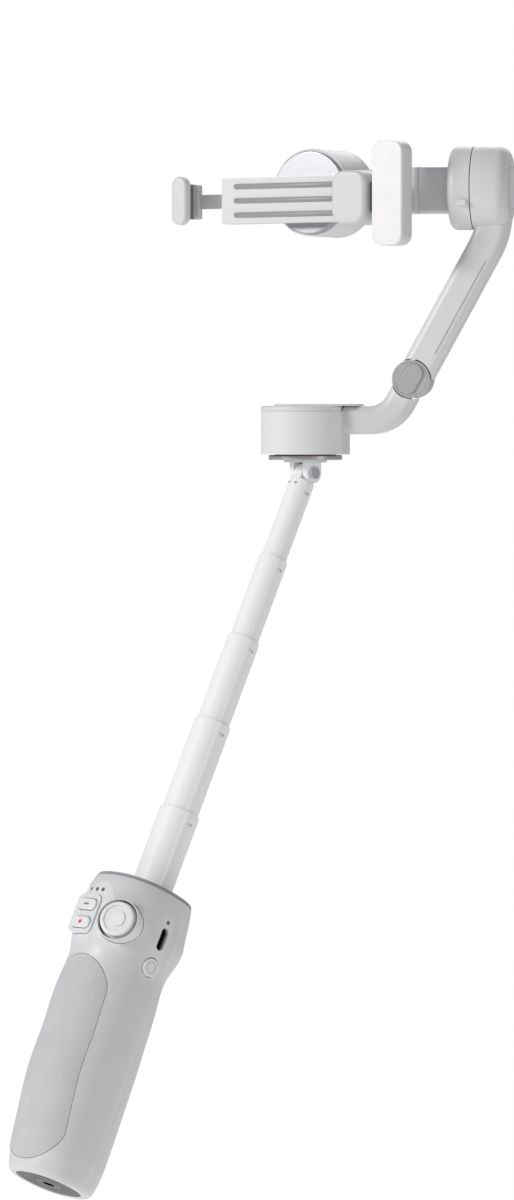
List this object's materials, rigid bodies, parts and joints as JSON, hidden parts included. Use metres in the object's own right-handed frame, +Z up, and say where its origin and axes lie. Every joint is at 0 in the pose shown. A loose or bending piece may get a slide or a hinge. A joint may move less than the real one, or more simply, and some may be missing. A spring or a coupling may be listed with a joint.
{
  "type": "gimbal stabilizer",
  "caption": "Hand-held phone stabiliser with a telescopic pole, folding arm, sliding clamp and clip-on fill light.",
  "frame": {"origin": "mouth of the tripod socket in the middle of the handle's bottom face", "axes": "+Z up along the pan axis with the head upright, +X along the tilt axis from the clamp to the tilt motor, +Y away from the user's side of the screen; the handle and pole lean towards +X and +Y"},
  "size_m": [0.1888, 0.1727, 0.4292],
  "materials": {
    "body_grey": "satin",
    "grip_grey": "matte, finely textured",
    "dark_grey": "matte",
    "rim_grey": "satin",
    "socket_black": "blackened",
    "battery_wrap": "shrink wrap",
    "circuit_board": "solder mask",
    "switch_black": "matte",
    "led_lit": "lit",
    "led_unlit": "frosted",
    "button_grey": "satin",
    "steel": "brushed",
    "pole_white": "satin",
    "head_white": "satin",
    "motor_grey": "satin",
    "coil_copper": "enamelled wire",
    "magnet_steel": "plated",
    "arm_grey": "satin",
    "cover_grey": "satin",
    "knuckle_grey": "satin",
    "pad_rubber": "matte",
    "magnet_mount": "matte",
    "diffuser_white": "frosted"
  },
  "bodies": {
    "handle": {"handle_front_shell": "body_grey", "handle_rear_shell": "body_grey", "grip_pad": "grip_grey", "bottom_cap": "dark_grey", "tripod_insert": "socket_black", "top_rim": "rim_grey", "pole_socket": "dark_grey", "battery": "battery_wrap", "main_board": "circuit_board", "button_board": "circuit_board", "battery_led": "led_lit", "spare_leds": "led_unlit", "charge_lamp": "led_unlit", "button_panel": "body_grey", "power_switch": "switch_black", "usb_port": "switch_black", "joystick_base": "body_grey", "trigger_pin": "steel"},
    "mode_button": {"mode_button": "button_grey"},
    "record_button": {"record_button": "button_grey"},
    "power_button": {"power_button": "button_grey"},
    "joystick_yoke": {"joystick_yoke": "steel"},
    "joystick_cap": {"joystick_cap": "button_grey"},
    "trigger": {"trigger": "button_grey"},
    "pole_stage_1": {"pole_stage_1": "pole_white"},
    "pole_stage_2": {"pole_stage_2": "pole_white"},
    "pole_stage_3": {"pole_stage_3": "pole_white"},
    "pole_stage_4": {"pole_stage_4": "pole_white"},
    "pole_stage_5": {"pole_stage_5": "pole_white", "pole_head": "head_white"},
    "head_base": {"hinge_bracket": "head_white", "hinge_pin": "steel", "pan_base": "motor_grey", "pan_stator": "coil_copper"},
    "lower_arm": {"pan_rotor": "magnet_steel", "pan_housing": "arm_grey", "pan_cover": "cover_grey", "pan_top_plate": "cover_grey", "fold_lug_lower": "knuckle_grey", "fold_pin": "steel"},
    "upper_arm": {"fold_lug_upper": "knuckle_grey", "upper_arm": "arm_grey", "upper_arm_cover": "cover_grey", "tilt_stator": "coil_copper"},
    "roll_arm": {"tilt_rotor": "magnet_steel", "roll_arm": "arm_grey", "roll_cover": "cover_grey", "roll_stator": "coil_copper"},
    "clamp": {"roll_rotor": "magnet_steel", "roll_plate": "motor_grey", "clamp_cover": "arm_grey", "clamp_base": "arm_grey", "jaw_rails": "steel", "fixed_jaw_pad": "pad_rubber", "light_mount": "magnet_mount", "light_housing": "arm_grey", "light_board": "circuit_board", "light_diffuser": "diffuser_white"},
    "sliding_jaw": {"sliding_jaw": "arm_grey", "sliding_jaw_pad": "pad_rubber"}
  },
  "joints": [
    {"name": "pole_slide_1", "type": "slide", "parent": "handle", "child": "pole_stage_1", "axis": [0.2724, 0.3709, 0.8878], "range_m": [-0.033, 0]},
    {"name": "pole_slide_2", "type": "slide", "parent": "pole_stage_1", "child": "pole_stage_2", "axis": [0.2724, 0.3709, 0.8878], "range_m": [-0.0374, 0]},
    {"name": "pole_slide_3", "type": "slide", "parent": "pole_stage_2", "child": "pole_stage_3", "axis": [0.2724, 0.3709, 0.8878], "range_m": [-0.0351, 0]},
    {"name": "pole_slide_4", "type": "slide", "parent": "pole_stage_3", "child": "pole_stage_4", "axis": [0.2724, 0.3709, 0.8878], "range_m": [-0.0342, 0]},
    {"name": "pole_slide_5", "type": "slide", "parent": "pole_stage_4", "child": "pole_stage_5", "axis": [0.2724, 0.3709, 0.8878], "range_m": [-0.0326, 0]},
    {"name": "head_hinge", "type": "hinge", "parent": "pole_stage_5", "child": "head_base", "pos_m": [0.08531, 0.11613, 0.28451], "axis": [0.8059, -0.592, 0], "range_deg": [-27.4, 32]},
    {"name": "pan", "type": "hinge", "parent": "head_base", "child": "lower_arm", "pos_m": [0.08531, 0.11613, 0.30001], "axis": [0, 0, 1], "range_deg": [-165, 165]},
    {"name": "arm_fold", "type": "hinge", "parent": "lower_arm", "child": "upper_arm", "pos_m": [0.13091, 0.11613, 0.32381], "axis": [0, 1, 0], "range_deg": [0, 70]},
    {"name": "tilt", "type": "hinge", "parent": "upper_arm", "child": "roll_arm", "pos_m": [0.16031, 0.11613, 0.40301], "axis": [1, 0, 0], "range_deg": [-60, 60]},
    {"name": "roll", "type": "hinge", "parent": "roll_arm", "child": "clamp", "pos_m": [0.08902, 0.1376, 0.4022], "axis": [0.3746, 0.9272, 0], "range_deg": [-40, 40]},
    {"name": "jaw_slide", "type": "slide", "parent": "clamp", "child": "sliding_jaw", "axis": [-0.9272, 0.3746, 0], "range_m": [-0.0125, 0.012]},
    {"name": "joystick_up_down", "type": "hinge", "parent": "handle", "child": "joystick_yoke", "pos_m": [0.02657, 0.01639, 0.10417], "axis": [0.9548, -0.2184, -0.2017], "range_deg": [-8, 8], "stiffness_Nm_per_rad": 0.05},
    {"name": "joystick_left_right", "type": "hinge", "parent": "joystick_yoke", "child": "joystick_cap", "pos_m": [0.02657, 0.01639, 0.10417], "axis": [0.2724, 0.3709, 0.8878], "range_deg": [-8, 8], "stiffness_Nm_per_rad": 0.05},
    {"name": "mode_button_press", "type": "slide", "parent": "handle", "child": "mode_button", "axis": [0.5256, 0.7155, -0.4602], "range_m": [0, 0.0005], "stiffness_N_per_m": 400, "springref_m": -0.0005},
    {"name": "record_button_press", "type": "slide", "parent": "handle", "child": "record_button", "axis": [0.5256, 0.7155, -0.4602], "range_m": [0, 0.0005], "stiffness_N_per_m": 400, "springref_m": -0.0005},
    {"name": "power_button_press", "type": "slide", "parent": "handle", "child": "power_button", "axis": [-0.8059, 0.592, 0], "range_m": [0, 0.0004], "stiffness_N_per_m": 400, "springref_m": -0.0005},
    {"name": "trigger_pull", "type": "hinge", "parent": "handle", "child": "trigger", "pos_m": [0.03708, 0.05048, 0.09368], "axis": [-0.8059, 0.592, 0], "range_deg": [0, 8], "stiffness_Nm_per_rad": 0.3, "springref_deg": -11.46}
  ]
}
